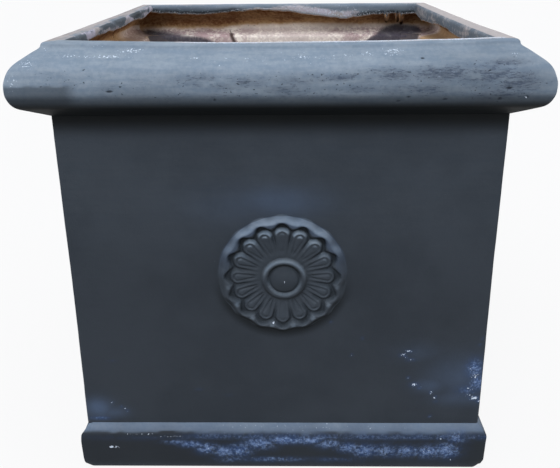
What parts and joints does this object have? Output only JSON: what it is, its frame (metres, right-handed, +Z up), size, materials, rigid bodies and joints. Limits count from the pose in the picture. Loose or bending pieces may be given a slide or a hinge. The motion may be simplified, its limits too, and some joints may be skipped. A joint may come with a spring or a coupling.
{
  "type": "square fibreclay planter",
  "caption": "Square fibreclay floor planter with a rolled hollow rim, a plinth, a petalled rosette on each side and a drained floor.",
  "frame": {"origin": "centre of the planter's footprint, on the ground", "axes": "+Z up, -Y towards the pictured front, +X to the right of that front"},
  "size_m": [0.5, 0.5, 0.486],
  "materials": {
    "slate_paint": "matte",
    "bare_fibreclay": "matte"
  },
  "bodies": {
    "root": {"front_rim": "slate_paint", "front_wall": "slate_paint", "front_plinth": "slate_paint", "front_rosette": "slate_paint", "right_rim": "slate_paint", "right_wall": "slate_paint", "right_plinth": "slate_paint", "right_rosette": "slate_paint", "back_rim": "slate_paint", "back_wall": "slate_paint", "back_plinth": "slate_paint", "back_rosette": "slate_paint", "left_rim": "slate_paint", "left_wall": "slate_paint", "left_plinth": "slate_paint", "left_rosette": "slate_paint", "floor_slab": "bare_fibreclay", "front_floor_bond": "bare_fibreclay", "right_floor_bond": "bare_fibreclay", "back_floor_bond": "bare_fibreclay", "left_floor_bond": "bare_fibreclay", "front_right_corner_bond": "bare_fibreclay", "back_right_corner_bond": "bare_fibreclay", "back_left_corner_bond": "bare_fibreclay", "front_left_corner_bond": "bare_fibreclay"}
  },
  "joints": []
}
